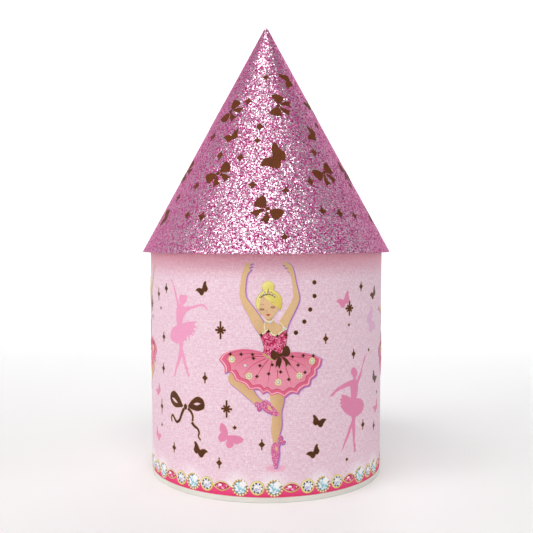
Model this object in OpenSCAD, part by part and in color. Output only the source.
// Round musical jewellery box: a printed tower body, a lift-off cone roof and a wind-up turning dancer.
// Millimetres, +Z up. The origin is the centre of the foot rim on the table; the front faces -Y.

/* [Body] */
// Diameter over the printed cover
body_d = 120; // [119:0.5:121]
// Height of the roof's lower edge above the table
eave_z = 113.7; // [112:0.1:116]
// How far the tube's top edge stands above the roof's lower edge
eave_drop = 2.3; // [1.8:0.1:2.8]
// Thickness of the rolled board tube
tube_t = 2; // [1.8:0.1:2.2]
// Thickness of the linen-finish printed cover
cover_t = 0.4; // [0.3:0.1:0.5]
// Thickness of the velour lining
lining_t = 0.4; // [0.3:0.1:0.5]
// Height of the white foot rim
rim_h = 2.7; // [2.4:0.1:3]
// How far the foot rim stands proud of the cover
rim_proud = 0.2; // [0.1:0.1:0.4]

/* [Roof] */
// Diameter of the roof's lower edge
roof_d = 128.2; // [127.8:0.2:129]
// Height of the roof to its sharp point, before the tip is rounded
roof_h = 116; // [112:1:120]
// Radius of the rounded tip
tip_r = 1.2; // [1.1:0.1:1.4]
// Thickness of the roof's board
roof_t = 1.2; // [1:0.1:1.3]
// Thickness of the glitter paper over it
glitter_t = 0.4; // [0.3:0.1:0.4]
// Depth of the locating collar below the roof's floor
collar_h = 12; // [9:1:13]
// Radius of the mirror under the roof
mirror_r = 44; // [40:1:46]

/* [Jewel tray] */
// Height of the stage floor's top face
stage_z = 48; // [47:0.5:49]
// Height of the tray's outer wall
tray_h = 20; // [18:1:22]
// Radius of the well round the dancer
well_r = 19; // [18:0.5:19]

/* [Dancer] */
// Height of the dancer from toe to fingertips
dancer_h = 50; // [48:1:51]
// Radius of the tutu
tutu_r = 12.5; // [11:0.5:13]
// Radius of the turntable
turntable_r = 15.5; // [14:0.5:16]

/* [Winding key] */
// Width over the wings of the winding key
key_w = 19; // [17:1:21]
// Height of the key's lowest edge above the table
key_z = 3.2; // [3:0.1:4]

/* [Hidden] */
$fn = 96;

// Radii of the body's layers
body_r = body_d / 2;
tube_r = body_r - cover_t;
tube_in_r = tube_r - tube_t;
lining_in_r = tube_in_r - lining_t;
tube_top = eave_z + eave_drop;
rim_r = body_r + rim_proud;

// Roof
roof_r = roof_d / 2;
roof_slope = atan(roof_r / roof_h);
roof_floor_t = 2;
collar_r = lining_in_r - 0.4;
collar_t = 2;
collar_in_r = collar_r - collar_t;
mirror_t = 1.5;
mirror_top = tube_top - lining_t;

// Base: a skirt inside the tube, and a deck that carries the movement above the key's recess
skirt_r = tube_in_r - 0.1;
skirt_t = 2;
deck_z = 19;
deck_t = 2;
rib_h = 5;
rib_count = 6;
rib_t = 1.6;
rib_in_r = 24;

// Stage, tray and turntable
stage_t = 2;
ledge_h = 6;
ledge_in_r = tube_in_r - 4;
tray_r = lining_in_r - 0.3;
wall_t = 1;
tray_floor_t = 1.2;
tray_floor_z = stage_z + tray_floor_t;
inner_wall_h = tray_h - 6;
divider_t = 1.2;
divider_angles = [90, 210, 330];
pad_t = 2.5;
pad_gap = 0.6;
roll_r = 3.8;
roll_pitch = 8;
roll_h = 14;
first_roll_y = 25;
turntable_z = stage_z + 1.5;
turntable_t = 3;
toe_z = turntable_z + turntable_t;
shaft_r = 1.6;
run = 0.05;

// Musical movement, laid out along +X from the winding axis
plate_z = 23;
plate_t = 2.5;
plate_top = plate_z + plate_t;
foot_places = [[-11, -14], [42, -14], [-11, 16]];
foot_r = 3.2;
thread_r = 1.2;
barrel_r = 12.2;
barrel_z = plate_top + 0.5;
barrel_wall = 1;
crown_teeth = 44;
crown_m = 0.5;
crown_r = crown_m * crown_teeth / 2;
crown_plane = 32;
crown_add = 0.35;
crown_ded = 0.45;
crown_z = crown_plane - crown_ded - 0.65;
pinion_teeth = 20;
pinion_w = 1.6;
axis_z = crown_plane + crown_m * pinion_teeth / 2;
arbor_r = 0.9;
post_t = 1.6;
near_post_x = 13;
far_post_x = 36.8;
outer_post_x = 44.4;
drum_r = 6.3;
drum_x = 15.4;
drum_l = 18.8;
pin_h = 0.35;
notes = 18;
note_pitch = 1;
first_note_x = 16.3;
comb_t = 0.8;
comb_root_y = -12.6;
comb_back_y = -18;
comb_screw_x = [19.5, 31];
comb_screw_y = -15.4;
train_m = 0.4;
train_add = 0.28;
train_ded = 0.4;
wheel_teeth = 35;
wheel_x = 34.8;
wheel_r = train_m * wheel_teeth / 2;
leaf_teeth = 8;
leaf_r = train_m * leaf_teeth / 2;
governor_y = wheel_r + leaf_r;
governor_teeth = 24;
governor_wheel_r = train_m * governor_teeth / 2;
governor_x = 41.2;
governor_w = 1;
spindle_r = 0.6;
worm_core_r = 1.1;
worm_r = 1.75;
worm_x = governor_x + governor_w / 2;
worm_y = governor_y + governor_wheel_r + 1.55;
worm_pitch = PI * train_m;
worm_turns = 5;
bridge_z = 33.6;
bridge_t = 1.4;
bridge_post_y = 15.2;
bridge_post_r = 2.4;
bracket_top = 42.9;
bracket_t = 1.2;
ratchet_z = 20.2;
ratchet_t = 1.5;
ratchet_teeth = 12;
ratchet_r = 4.6;
winding_r = 1.8;
key_hub_r = 2.9;
key_t = 1.8;
click_x = 11;
click_y = 3.4;
pinhole_r = 0.5;
comb_screw_r = 0.75;
bridge_screw_r = 0.9;
gov_arbor_r = 0.8;
bush_r = 4;

// A ring between two radii
module ring(outer_r, inner_r, z, h) {
    translate([0, 0, z]) difference() {
        cylinder(r = outer_r, h = h);
        translate([0, 0, -1]) cylinder(r = inner_r, h = h + 2);
    }
}

// A wedge of space about +Z between two angles less than 180 degrees apart, set in from each by gap
module sector_space(from, to, gap, z, h) {
    reach = 200;
    mid = (from + to) / 2;
    start = gap / sin((to - from) / 2) * [cos(mid), sin(mid)];
    translate([0, 0, z]) linear_extrude(h) polygon([
        start, start + reach * [cos(from), sin(from)], reach * 1.5 * [cos(mid), sin(mid)],
        start + reach * [cos(to), sin(to)]]);
}

// A solid cone with a rounded tip, set in from the roof's outer face by inset
module roof_solid(inset, tip) {
    apex = eave_z + roof_h - inset / sin(roof_slope);
    base_r = (apex - eave_z) * tan(roof_slope);
    tip_centre = apex - tip / sin(roof_slope);
    tangent_z = tip_centre + tip * sin(roof_slope);
    translate([0, 0, eave_z])
        cylinder(r1 = base_r, r2 = tip * cos(roof_slope), h = tangent_z - eave_z);
    if (tip > 0) translate([0, 0, tip_centre]) sphere(r = tip, $fn = 48);
}

// Radius of the roof's inside face at height z
function roof_inside(z) = (eave_z + roof_h - (roof_t + glitter_t) / sin(roof_slope) - z) * tan(roof_slope);

// Outline of a straight-sided gear, its first tooth on +X; share is the tooth's part of the pitch
function gear_outline(teeth, m, addendum, dedendum, share) =
    let (r = m * teeth / 2, step = 360 / teeth, half = step * share / 2)
    [for (i = [0:teeth - 1], side = [-1, -0.6, 0.6, 1])
        let (a = i * step + side * 1.2 * half, radius = abs(side) < 1 ? r + addendum : r - dedendum)
        radius * [cos(a), sin(a)]];

// A wheel that turns about +X, its first tooth phase degrees past +Y
module wheel_along_x(x, y, z, width, phase, outline, bore_r) {
    translate([x, y, z]) rotate([phase, 0, 0]) rotate([90, 0, 90]) linear_extrude(width) difference() {
        polygon(outline);
        circle(r = bore_r, $fn = 32);
    }
}

// A rod along +X
module rod_x(x0, x1, y, z, r) {
    translate([x0, y, z]) rotate([0, 90, 0]) cylinder(r = r, h = x1 - x0, $fn = 32);
}

// A plate with round corners
module round_plate(x0, y0, x1, y1, r, z, h) {
    translate([x0 + r, y0, z]) cube([x1 - x0 - 2 * r, y1 - y0, h]);
    translate([x0, y0 + r, z]) cube([x1 - x0, y1 - y0 - 2 * r, h]);
    for (x = [x0 + r, x1 - r], y = [y0 + r, y1 - r]) translate([x, y, z]) cylinder(r = r, h = h, $fn = 32);
}

// A slotted pan-head screw pointing down, with its head's underside at the origin
module screw(shank_r, shank_l, head_r, head_h) {
    difference() {
        union() {
            cylinder(r = head_r, h = head_h, $fn = 32);
            translate([0, 0, -shank_l]) cylinder(r = shank_r, h = shank_l, $fn = 32);
        }
        translate([-head_r - 1, -0.2, head_h - 0.4]) cube([2 * head_r + 2, 0.4, 1]);
    }
}

// --- Body ---

module base_moulding() color("whitesmoke") difference() {
    union() {
        rotate_extrude($fn = 128) polygon([
            [skirt_r - skirt_t, 0], [rim_r - 0.5, 0], [rim_r - 0.15, 0.15], [rim_r, 0.5],
            [rim_r, rim_h - 0.5], [rim_r - 0.15, rim_h - 0.15], [rim_r - 0.5, rim_h],
            [skirt_r, rim_h], [skirt_r, deck_z], [0, deck_z], [0, deck_z - deck_t],
            [skirt_r - skirt_t, deck_z - deck_t]]);
        for (i = [0:rib_count - 1]) rotate(360 / rib_count * (i + 0.5))
            translate([rib_in_r, -rib_t / 2, deck_z - deck_t - rib_h])
                cube([skirt_r - skirt_t + 0.5 - rib_in_r, rib_t, rib_h + 0.5]);
        ring(rib_in_r + rib_t / 2, rib_in_r - rib_t / 2, deck_z - deck_t - rib_h, rib_h + 0.5);
    }
    translate([0, 0, deck_z - deck_t - 1]) cylinder(r = key_hub_r + 0.3, h = deck_t + 2, $fn = 48);
    for (p = foot_places) translate([p[0], p[1], 0]) cylinder(r = thread_r + 0.3, h = deck_z + 1, $fn = 32);
}

module body_tube() color("burlywood") ring(tube_r, tube_in_r, rim_h, tube_top - rim_h);

module printed_cover() color("pink") ring(body_r, tube_r, rim_h, tube_top - rim_h);

module velour_lining() color("hotpink") ring(tube_in_r, lining_in_r, stage_z, tube_top - stage_z);

module floor_ledge() color("burlywood") ring(tube_in_r, ledge_in_r, stage_z - stage_t - ledge_h, ledge_h);

module stage_floor() color("burlywood") ring(tube_in_r - run, bush_r, stage_z - stage_t, stage_t);

module stage_bush() color("gold") difference() {
    union() {
        translate([0, 0, stage_z - stage_t]) cylinder(r = bush_r, h = stage_t, $fn = 48);
        translate([0, 0, stage_z]) cylinder(r = bush_r + 2, h = 0.8, $fn = 48);
    }
    translate([0, 0, stage_z - stage_t - 1]) cylinder(r = shaft_r + run, h = stage_t + 3, $fn = 48);
}

// --- Jewel tray: a moulded ring with a roll sector at the front and two compartments behind ---

module jewel_tray() color("hotpink") {
    ring(tray_r, tray_r - wall_t, stage_z, tray_h);
    ring(well_r + wall_t, well_r, stage_z, inner_wall_h);
    ring(tray_r - wall_t / 2, well_r + wall_t / 2, stage_z, tray_floor_t);
    for (a = divider_angles) rotate(a) translate([well_r + wall_t / 2, -divider_t / 2, stage_z])
        cube([tray_r - well_r - wall_t, divider_t, inner_wall_h]);
}

module tray_pad(from) color("deeppink") intersection() {
    ring(tray_r - wall_t - pad_gap, well_r + wall_t + pad_gap, tray_floor_z, pad_t);
    sector_space(from, from + 120, divider_t / 2 + pad_gap, tray_floor_z - 1, pad_t + 2);
}

// Half the length of a roll at y from the axis: it stops short of the dividers and of the outer wall
function roll_half(y) = min(
    2 * ((y - roll_r) * cos(30) - divider_t / 2 - 0.3),
    sqrt(pow(tray_r - wall_t - 0.3, 2) - pow(y + roll_r, 2)));

module ring_roll(i) color("deeppink") {
    y = first_roll_y + roll_pitch * (i - 1);
    half = roll_half(y);
    translate([-half, -y - roll_r, tray_floor_z]) cube([2 * half, 2 * roll_r, roll_h - roll_r]);
    rod_x(-half, half, -y, tray_floor_z + roll_h - roll_r, roll_r);
}

// --- Roof ---

module roof_cone() color("pink") difference() {
    roof_solid(glitter_t, tip_r - glitter_t);
    translate([0, 0, -0.01]) roof_solid(glitter_t + roof_t, 0);
}

module glitter_skin() color("palevioletred") difference() {
    roof_solid(0, tip_r);
    roof_solid(glitter_t, tip_r - glitter_t);
}

module roof_floor() color("burlywood") translate([0, 0, tube_top]) cylinder(
    r1 = roof_inside(tube_top) - 0.05, r2 = roof_inside(tube_top + roof_floor_t) - 0.05, h = roof_floor_t);

module locating_collar() color("hotpink") ring(collar_r, collar_in_r, tube_top - collar_h, collar_h);

module roof_lining() color("hotpink")
    translate([0, 0, mirror_top]) cylinder(r = collar_in_r - run, h = tube_top - mirror_top);

module mirror() color("silver") translate([0, 0, mirror_top - mirror_t]) cylinder(r = mirror_r, h = mirror_t);

module mirror_frame() color("gold") translate([0, 0, mirror_top]) rotate_extrude() polygon([
    [mirror_r + run, 0], [mirror_r + 3, 0], [mirror_r + 3, -1.6], [mirror_r + 2.2, -2.3],
    [mirror_r - 0.8, -2.3], [mirror_r - 1.2, -mirror_t], [mirror_r + run, -mirror_t]]);

// --- Dancer and turntable ---

module turntable() color("gold") difference() {
    rotate_extrude() polygon([
        [0, turntable_z], [turntable_r - 0.6, turntable_z], [turntable_r, turntable_z + 0.6],
        [turntable_r, turntable_z + 1.4], [turntable_r - 0.5, turntable_z + 1.9],
        [turntable_r - 1.6, toe_z - 0.4], [turntable_r - 2, toe_z], [0, toe_z]]);
    translate([0, 0, turntable_z - 1]) cylinder(r = shaft_r, h = turntable_t - 0.2, $fn = 48);
    translate([0, 0, turntable_z]) cylinder(r = pinhole_r, h = turntable_t + 1, $fn = 24);
}

module dancer_peg() color("silver") translate([0, 0, toe_z - 1.2]) cylinder(r = pinhole_r, h = 5, $fn = 24);

// A point on the dancer, on a figure 50 high from toe to fingertips
function on_dancer(x, y, z) = [x, y, z] * dancer_h / 50 + [0, 0, toe_z];

// A limb through points [x, y, z, radius], rounded at each
module limb(points) {
    for (i = [0:len(points) - 2]) hull() for (p = [points[i], points[i + 1]])
        translate(on_dancer(p[0], p[1], p[2])) sphere(r = p[3] * dancer_h / 50, $fn = 14);
}

module dancer_figure() color("burlywood") difference() {
    union() {
        limb([[0, 0, 0.8, 0.8], [0.2, 0.2, 5, 0.9], [0.5, 0, 12.6, 1.25], [1.1, 0, 21.6, 1.7]]);
        limb([[-1.1, 0, 21.6, 1.7], [-7.2, -1.6, 16.6, 1.2], [-1.6, -1.7, 12.6, 0.8],
            [0.6, -1.9, 11.2, 0.7]]);
        limb([[0, 0, 22.4, 2.5], [0, 0, 27.4, 1.75], [0, 0, 31.6, 2.3], [0, 0, 35.6, 0.9]]);
        for (s = [-1, 1]) limb([
            [0, 0, 32.6, 1.5], [s * 3.1, 0, 33, 0.95], [s * 6.3, -0.4, 39.6, 0.8],
            [s * 5, -0.9, 45.6, 0.6], [s * 2.2, -1, 49.3, 0.5]]);
        limb([[0, -0.1, 38.2, 2.6], [0, 0, 39.4, 2.6], [0, 0.7, 42, 1.5]]);
    }
    translate([0, 0, toe_z - 3]) cube([6, 6, 6], center = true);
}

module dancer_tutu() color("hotpink") rotate_extrude() polygon([
    [3.1, toe_z + 24], [tutu_r, toe_z + 22.6], [tutu_r, toe_z + 23.6], [3.1, toe_z + 26]]);

// --- Musical movement: fixed parts ---

module movement_bedplate() color("darkgray") difference() {
    union() {
        round_plate(-15, -18, 47, 20.5, 3, plate_z, plate_t);
        for (p = foot_places) translate([p[0], p[1], deck_z])
            cylinder(r = foot_r, h = plate_z - deck_z + 1, $fn = 32);
        for (s = [-1, 1]) translate([0, s * bridge_post_y, plate_z])
            cylinder(r = bridge_post_r, h = bridge_z - plate_z, $fn = 32);
        for (x = [near_post_x, far_post_x]) translate([x, -2.5, plate_top - 1])
            cube([post_t, 5, axis_z + 2.5 - plate_top + 1]);
        translate([first_note_x - 1.2, comb_back_y, plate_top - 1])
            cube([notes * note_pitch + 1.4, comb_root_y - 0.4 - comb_back_y,
                axis_z - comb_t / 2 - plate_top + 1]);
    }
    translate([0, 0, plate_z - 1]) cylinder(r = winding_r + run, h = plate_t + 2, $fn = 48);
    for (p = foot_places) translate([p[0], p[1], deck_z - 1]) cylinder(r = thread_r, h = 6, $fn = 32);
    for (s = [-1, 1]) translate([0, s * bridge_post_y, bridge_z - 4])
        cylinder(r = bridge_screw_r, h = 5, $fn = 32);
    for (x = comb_screw_x) translate([x, comb_screw_y, axis_z - 5])
        cylinder(r = comb_screw_r, h = 6, $fn = 32);
    rod_x(near_post_x - 1, far_post_x + post_t + 1, 0, axis_z, arbor_r + run);
    translate([worm_x, worm_y, plate_top - 1.5]) cylinder(r = spindle_r + run, h = 3, $fn = 32);
    for (x = [far_post_x, outer_post_x]) translate([x + post_t / 2, governor_y, plate_top - 3])
        cylinder(r = pinhole_r, h = 4, $fn = 24);
}

module movement_screws() color("silver") for (p = foot_places)
    translate([p[0], p[1], deck_z - deck_t]) rotate([180, 0, 0]) screw(thread_r, deck_t + 4, 2.4, 1.4);

module comb() color("silver") translate([0, 0, axis_z - comb_t / 2]) linear_extrude(comb_t) difference() {
    polygon(concat(
        [[first_note_x - 1.2, comb_back_y], [first_note_x + notes * note_pitch + 0.2, comb_back_y]],
        [for (i = [notes - 1:-1:0], corner = [[0.9, 0], [0.9, 1], [0.1, 1], [0.1, 0]])
            [first_note_x - 0.5 + (i + corner[0]) * note_pitch,
             corner[1] == 1 ? -drum_r - pin_h - 0.25 : comb_root_y]]));
    for (x = comb_screw_x) translate([x, comb_screw_y]) circle(r = comb_screw_r + 0.1, $fn = 32);
}

module comb_screws() color("silver") for (x = comb_screw_x)
    translate([x, comb_screw_y, axis_z + comb_t / 2])
        screw(comb_screw_r, comb_t + 3.5, 2 * comb_screw_r, 0.9);

module barrel_bridge() color("darkgray") difference() {
    round_plate(-4, -18, 4, 18, 3, bridge_z, bridge_t);
    translate([0, 0, bridge_z - 1]) cylinder(r = shaft_r + run, h = bridge_t + 2, $fn = 48);
    for (s = [-1, 1]) translate([0, s * bridge_post_y, bridge_z - 1])
        cylinder(r = bridge_screw_r + 0.1, h = bridge_t + 2, $fn = 32);
}

module bridge_screws() color("silver") for (s = [-1, 1])
    translate([0, s * bridge_post_y, bridge_z + bridge_t]) screw(bridge_screw_r, bridge_t + 3.5, 1.9, 1);

// The click: a spring pawl riveted under the bedplate, its tip resting in a notch of the ratchet
module ratchet_click() color("silver") translate([click_x, click_y, ratchet_z + 0.2]) {
    cylinder(r = 1.6, h = ratchet_t - 0.4, $fn = 32);
    cylinder(r = 0.8, h = plate_z - ratchet_z - 0.2, $fn = 32);
    linear_extrude(ratchet_t - 0.4) polygon([[0, 1.2], [-0.4, -1.2],
        [ratchet_r - 0.8 - click_x, 0.5 - click_y],
        [ratchet_r - 0.75 - click_x, 0.95 - click_y], [-5, -1.5]]);
}

// --- Musical movement: spring barrel and dancer's shaft ---

module spring_barrel() color("gold") difference() {
    translate([0, 0, barrel_z]) cylinder(r = barrel_r, h = crown_z - barrel_z);
    translate([0, 0, barrel_z + barrel_wall]) cylinder(r = barrel_r - barrel_wall, h = crown_z);
    translate([0, 0, barrel_z - 1]) cylinder(r = winding_r + run, h = 4, $fn = 48);
}

// Points along a flat spiral from the radius inner to outer
function spiral(inner, outer, turns, steps) = [for (i = [0:steps])
    let (r = inner + (outer - inner) * i / steps, a = 360 * turns * i / steps) r * [cos(a), sin(a)]];

// The mainspring: a flat strip wound from the arbor out to the barrel's wall
module mainspring() color("steelblue") {
    turns = 6;
    steps = turns * 20;
    inner = 2.4;
    outer = barrel_r - barrel_wall - 0.9;
    strip = 0.4;
    outside = spiral(inner + strip, outer + strip, turns, steps);
    translate([0, 0, barrel_z + barrel_wall + 0.3]) linear_extrude(2.8)
        polygon(concat(spiral(inner, outer, turns, steps), [for (i = [steps:-1:0]) outside[i]]));
}

module crown_wheel() color("gold") difference() {
    union() {
        translate([0, 0, crown_z]) cylinder(r = barrel_r, h = crown_plane - crown_ded - crown_z);
        translate([0, 0, crown_z - 0.6]) cylinder(r = barrel_r - barrel_wall - run, h = 0.8);
        translate([0, 0, crown_plane - crown_ded - 0.2]) linear_extrude(crown_add + crown_ded + 0.2)
            for (i = [0:crown_teeth - 1]) rotate(360 / crown_teeth * (i + 0.5)) crown_tooth();
    }
    translate([0, 0, crown_z - 1]) cylinder(r = shaft_r, h = 5, $fn = 48);
}

module crown_tooth() {
    half = 360 / crown_teeth * 0.14;
    inner = crown_r - 1.1;
    outer = crown_r + 1.1;
    polygon([inner * [cos(half), -sin(half)], outer * [cos(half), -sin(half)],
        outer * [cos(half), sin(half)], inner * [cos(half), sin(half)]]);
}

module spinner_shaft() color("silver") translate([0, 0, crown_z - 0.6])
    cylinder(r = shaft_r, h = turntable_z + turntable_t - 1.2 - crown_z + 0.6, $fn = 48);

// --- Musical movement: winding train ---

module winding_arbor() color("silver") translate([0, 0, key_z + 4])
    cylinder(r = winding_r, h = crown_z - 0.9 - key_z - 4, $fn = 48);

module ratchet_wheel() color("silver") translate([0, 0, ratchet_z]) linear_extrude(ratchet_t) difference() {
    polygon([for (i = [0:ratchet_teeth - 1], corner = [[0, ratchet_r], [4, ratchet_r - 1.1]])
        let (a = 360 / ratchet_teeth * i + corner[0]) corner[1] * [cos(a), sin(a)]]);
    circle(r = winding_r, $fn = 48);
}

module winding_key() color("gold") {
    wing_r = 4.4;
    wing_x = key_w / 2 - wing_r;
    difference() {
        union() {
            for (s = [-1, 1]) translate([s * wing_x, key_t / 2, key_z + wing_r]) rotate([90, 0, 0])
                cylinder(r = wing_r, h = key_t, $fn = 48);
            translate([-wing_x, -key_t / 2, key_z + 1.4]) cube([2 * wing_x, key_t, 5.4]);
            translate([0, 0, key_z + 1]) cylinder(r = key_hub_r, h = 12, $fn = 48);
        }
        translate([0, 0, key_z + 4]) cylinder(r = winding_r, h = 12, $fn = 48);
        for (s = [-1, 1]) translate([s * wing_x, 2, key_z + wing_r]) rotate([90, 0, 0])
            cylinder(r = 1.5, h = 4, $fn = 32);
    }
}

// --- Musical movement: cylinder train ---

module music_cylinder() color("gold") {
    difference() {
        rod_x(drum_x, drum_x + drum_l, 0, axis_z, drum_r);
        rod_x(drum_x + 1, drum_x + drum_l - 1, 0, axis_z, drum_r - 0.8);
        rod_x(drum_x - 1, drum_x + drum_l + 1, 0, axis_z, arbor_r);
    }
    // Four pins a note, spread round the drum by a step that never repeats a chord
    for (i = [0:notes - 1], k = [0:3])
        translate([first_note_x + i * note_pitch, 0, axis_z]) rotate([90 * k + 47 * i + 11 * i * k, 0, 0])
            translate([0, 0, drum_r - 0.2]) cylinder(r = 0.18, h = pin_h + 0.2, $fn = 6);
}

module cylinder_arbor() color("silver")
    rod_x(crown_r - pinion_w / 2, far_post_x + post_t + 0.6, 0, axis_z, arbor_r);

module crown_pinion() color("gold") wheel_along_x(crown_r - pinion_w / 2, 0, axis_z, pinion_w, -90,
    gear_outline(pinion_teeth, crown_m, crown_add, crown_ded, 0.32), arbor_r);

module cylinder_wheel() color("gold") wheel_along_x(wheel_x, 0, axis_z, 1, 360 / wheel_teeth / 2,
    gear_outline(wheel_teeth, train_m, train_add, train_ded, 0.4), arbor_r);

// --- Musical movement: governor ---

module governor_bracket() color("darkgray") difference() {
    union() {
        for (x = [far_post_x, outer_post_x]) translate([x, governor_y - 2.6, plate_top])
            cube([post_t, 4.4, bracket_top - plate_top + bracket_t]);
        translate([far_post_x, governor_y - 2.6, bracket_top])
            cube([outer_post_x + post_t - far_post_x, worm_y + 2.4 - governor_y + 2.6, bracket_t]);
    }
    rod_x(far_post_x - 1, outer_post_x + post_t + 1, governor_y, axis_z, gov_arbor_r + run);
    translate([worm_x, worm_y, bracket_top - 1]) cylinder(r = spindle_r + run, h = bracket_t + 2, $fn = 32);
    for (x = [far_post_x, outer_post_x]) translate([x + post_t / 2, governor_y, plate_top - 1])
        cylinder(r = pinhole_r, h = 3, $fn = 24);
}

module bracket_screws() color("silver") for (x = [far_post_x, outer_post_x])
    translate([x + post_t / 2, governor_y, plate_z]) rotate([180, 0, 0])
        screw(pinhole_r, plate_t + 1.8, 1.2, 0.8);

module governor_arbor() color("silver") {
    rod_x(wheel_x - 0.6, outer_post_x + post_t + 0.4, governor_y, axis_z, gov_arbor_r);
    wheel_along_x(wheel_x - 0.3, governor_y, axis_z, 1.6, 180,
        gear_outline(leaf_teeth, train_m, train_add, train_ded, 0.34), gov_arbor_r / 2);
}

module governor_wheel() color("gold") wheel_along_x(governor_x, governor_y, axis_z, governor_w, 0,
    gear_outline(governor_teeth, train_m, train_add, train_ded, 0.4), gov_arbor_r);

module governor_spindle() color("silver") translate([worm_x, worm_y, plate_top - 1.4])
    cylinder(r = spindle_r, h = bracket_top + bracket_t - plate_top + 1.4, $fn = 32);

// The worm: a right-hand thread whose groove faces the governor wheel's tooth at the axis height
module governor_worm() color("silver") {
    length = worm_pitch * worm_turns;
    thread_half = 50;
    translate([worm_x, worm_y, axis_z - length / 2]) rotate(-90) difference() {
        linear_extrude(length, twist = -360 * worm_turns, slices = 16 * worm_turns, $fn = 12) polygon(concat(
            [for (a = thread_half * [-1, -1 / 3, 1 / 3, 1]) worm_r * [cos(a), sin(a)]],
            [for (a = [thread_half + 20:40:340 - thread_half]) worm_core_r * [cos(a), sin(a)]]));
        translate([0, 0, -1]) cylinder(r = spindle_r, h = length + 2, $fn = 16);
    }
}

module governor_fan() color("whitesmoke") difference() {
    translate([worm_x, worm_y, 26.4]) {
        cylinder(r = 1.1, h = 4.9, $fn = 32);
        translate([-4.3, -0.2, 0]) cube([8.6, 0.4, 4.9]);
    }
    translate([worm_x, worm_y, 26]) cylinder(r = spindle_r, h = 6, $fn = 32);
}

base_moulding();
body_tube();
printed_cover();
velour_lining();
floor_ledge();
stage_floor();
stage_bush();
jewel_tray();
tray_pad(90);  // tray_pad_left
tray_pad(330);  // tray_pad_right
ring_roll(1);  // ring_roll_1
ring_roll(2);  // ring_roll_2
ring_roll(3);  // ring_roll_3
ring_roll(4);  // ring_roll_4
roof_cone();
glitter_skin();
roof_floor();
locating_collar();
roof_lining();
mirror();
mirror_frame();
turntable();
dancer_peg();
dancer_figure();
dancer_tutu();
movement_bedplate();
movement_screws();
comb();
comb_screws();
barrel_bridge();
bridge_screws();
ratchet_click();
spring_barrel();
mainspring();
crown_wheel();
spinner_shaft();
winding_arbor();
ratchet_wheel();
winding_key();
music_cylinder();
cylinder_arbor();
crown_pinion();
cylinder_wheel();
governor_bracket();
bracket_screws();
governor_arbor();
governor_wheel();
governor_spindle();
governor_worm();
governor_fan();
